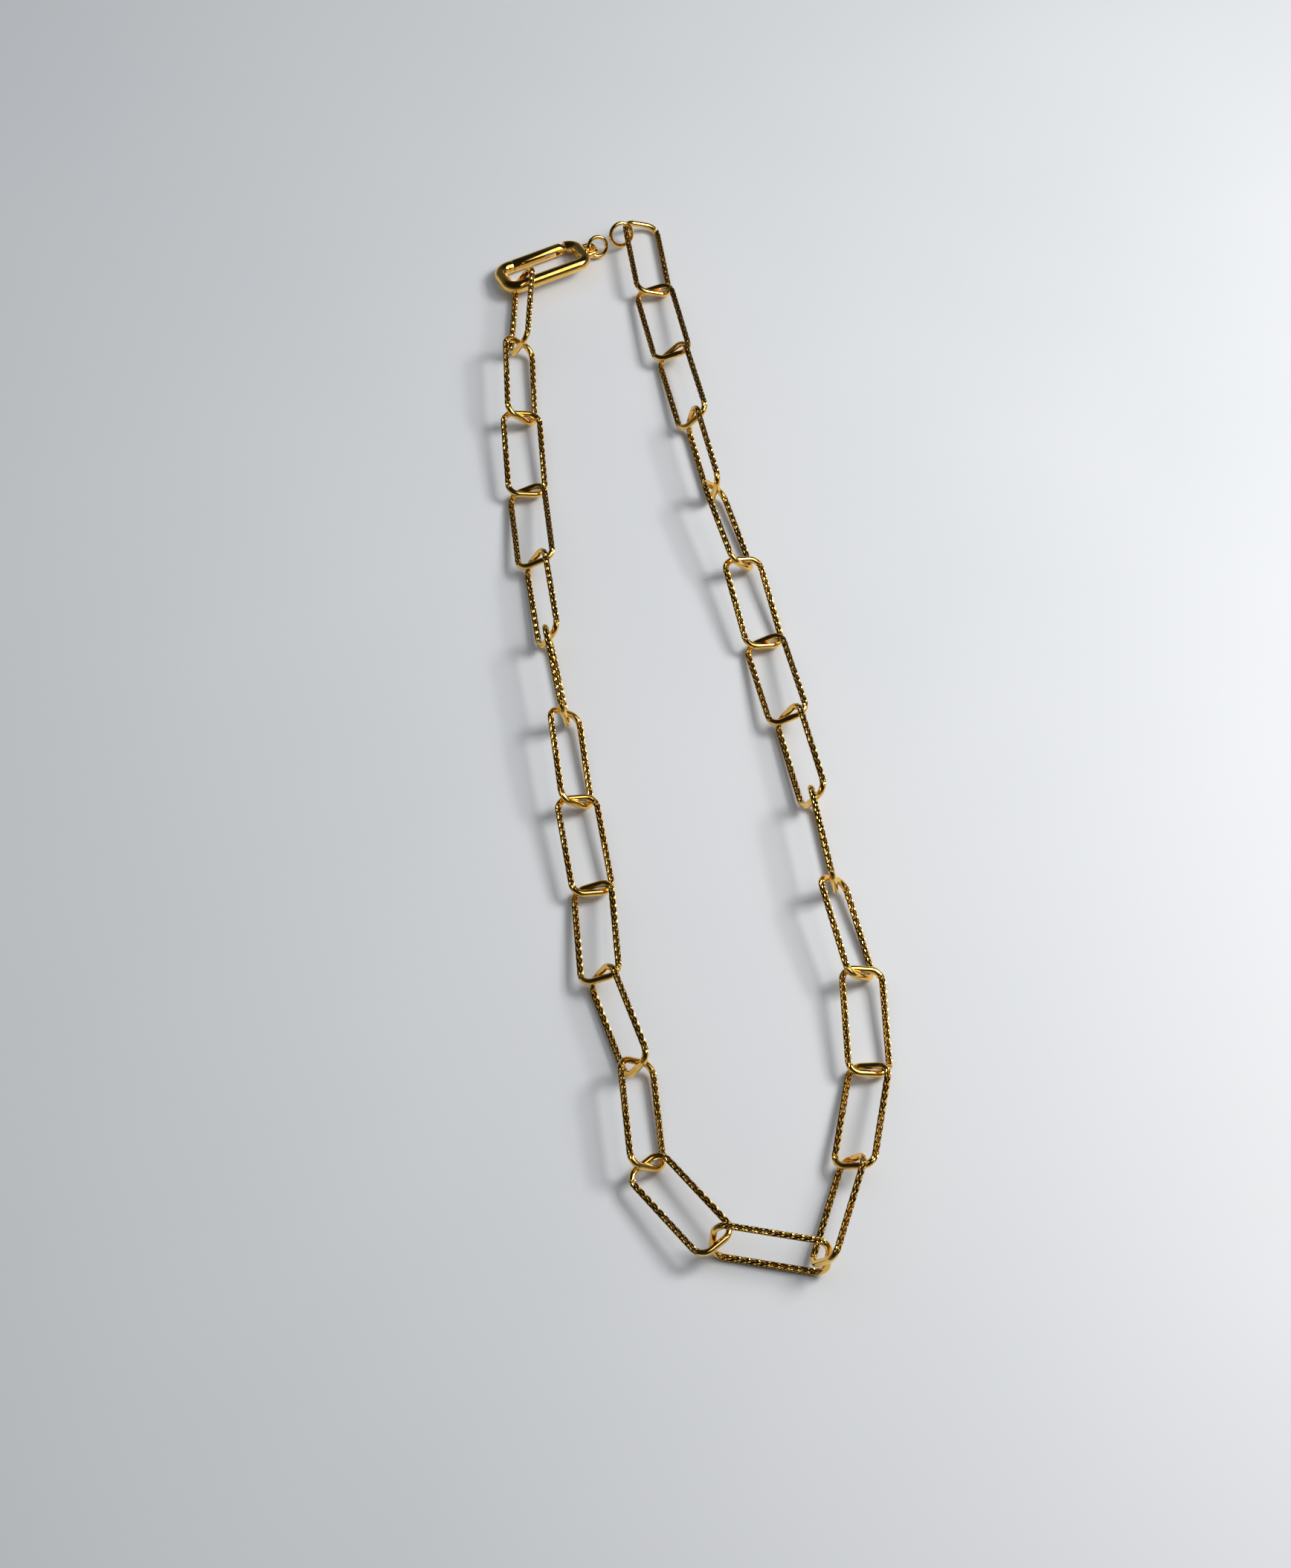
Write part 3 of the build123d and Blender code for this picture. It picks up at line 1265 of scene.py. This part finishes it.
@dataclass
class Studio:
    """Table, light and camera.

    Args:
        table_finish: Material of the table top.
        table_size: Length of each side of the table.
        table_thickness: Thickness of its top.
        table_edge: Width of its eased edges.
        aim: Where the camera and the lights look.
        distance: From the camera to there.
        tilt: The camera's angle from straight down, in degrees.
        heading: Which way it faces, in degrees clockwise from +Y.
        lens: Its focal length.
        sensor: Width of its sensor.
        near_clip: Nearest thing that it shows.
        surround_low: Colour of the room's walls.
        surround_high: Colour of the room overhead.
        wall_top: Height in a view direction where the walls start to darken.
        ceiling_start: Height where they are as dark as overhead.
        lights: The room's lamps.
    """

    table_finish: bpy.types.Material
    table_size: float = 4000.0
    table_thickness: float = 20.0
    table_edge: float = 4.0
    aim: tuple[float, float, float] = (-5.06, -16.75, 0.0)
    distance: float = 374.1
    tilt: float = 29.9
    heading: float = 1.01
    lens: float = 56.76
    sensor: float = 36.0
    near_clip: float = 1.0
    surround_low: Colour = (0.09, 0.095, 0.11, 1.0)
    surround_high: Colour = (0.012, 0.013, 0.015, 1.0)
    wall_top: float = 0.2
    ceiling_start: float = 0.62
    lights: tuple[SoftLight, ...] = (
        SoftLight("window_light", (150, 150), (300, 60, 330), 1.2, (1.0, 0.985, 0.96)),
        SoftLight("window_glow", (430, 430), (280, -10, 390), 1.0, (1.0, 0.985, 0.96)),
        SoftLight("room_fill", (800, 800), (-250, 200, 640), 1.2, (0.90, 0.95, 1.0), False),
    )

    def build(self) -> None:
        """Set out the table, the lights, the sky and the camera."""
        self._table()
        for light in self.lights:
            light.build(mm(*self.aim))
        self._sky()
        self._camera()

    def _table(self) -> None:
        """A table top with eased edges, its surface at the height that the chain lies on."""
        half = self.table_size / 2
        table = Bench.block("table_top", mm(-half, -half, -self.table_thickness), mm(half, half, 0))
        Bench.modify(table, "BEVEL", width=self.table_edge * MM, segments=3)
        table.data.materials.append(self.table_finish)
        table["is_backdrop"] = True

    def _sky(self) -> None:
        """A room that is pale round its walls and dark overhead."""
        world = bpy.data.worlds.new("surround")
        world.use_nodes = True
        tree = world.node_tree
        where = tree.nodes.new("ShaderNodeTexCoord")
        height = tree.nodes.new("ShaderNodeSeparateXYZ")
        ramp = tree.nodes.new("ShaderNodeMapRange")
        blend = tree.nodes.new("ShaderNodeMix")
        blend.data_type = "RGBA"
        ramp.interpolation_type = "SMOOTHSTEP"
        ramp.inputs["From Min"].default_value = self.wall_top
        ramp.inputs["From Max"].default_value = self.ceiling_start
        blend.inputs[6].default_value = self.surround_low
        blend.inputs[7].default_value = self.surround_high
        tree.links.new(where.outputs["Generated"], height.inputs["Vector"])
        tree.links.new(height.outputs["Z"], ramp.inputs["Value"])
        tree.links.new(ramp.outputs["Result"], blend.inputs[0])
        tree.links.new(blend.outputs[2], tree.nodes["Background"].inputs["Color"])
        bpy.context.scene.world = world
        bpy.context.scene.view_settings.view_transform = "Standard"

    def _camera(self) -> None:
        """A camera above the front of the table, looking down and away."""
        tilt, heading = math.radians(self.tilt), math.radians(self.heading)
        level = Vector((math.sin(heading), math.cos(heading), 0))
        look = level * math.sin(tilt) - Vector((0, 0, 1)) * math.cos(tilt)
        Bench.clear()
        bpy.ops.object.camera_add(location=mm(*self.aim) - look * self.distance * MM)
        camera = bpy.context.object
        camera.name = "view_camera"
        right = look.cross(Vector((0, 0, 1))).normalized()
        turn = Matrix((right, right.cross(look), -look)).transposed()
        camera.rotation_euler = turn.to_euler()
        camera.data.lens = self.lens
        camera.data.sensor_width = self.sensor
        camera.data.clip_start = self.near_clip * MM
        bpy.context.scene.camera = camera


# ---------------------------------------------------------------- all together


def corners() -> list[list[float]]:
    """Lowest and highest corner of what is shown."""
    bpy.context.view_layer.update()
    return [list(corner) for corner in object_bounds()]


def main() -> None:
    """Build the necklace and its studio, and work out both boxes."""
    cad_box = corners()
    polished_gold = POLISHED_GOLD.material()
    Chain(DiamondCutLink(CUT_GOLD.material())).build()
    Clasp(polished_gold, SPRING_STEEL.material()).build()
    JumpRing("clasp_ring", 4.0, polished_gold).build()
    JumpRing("chain_ring", 4.6, polished_gold).build()
    Studio(PALE_TABLE.material()).build()
    {"cad": cad_box, "visual": corners()}


if __name__ == "__main__":
    main()
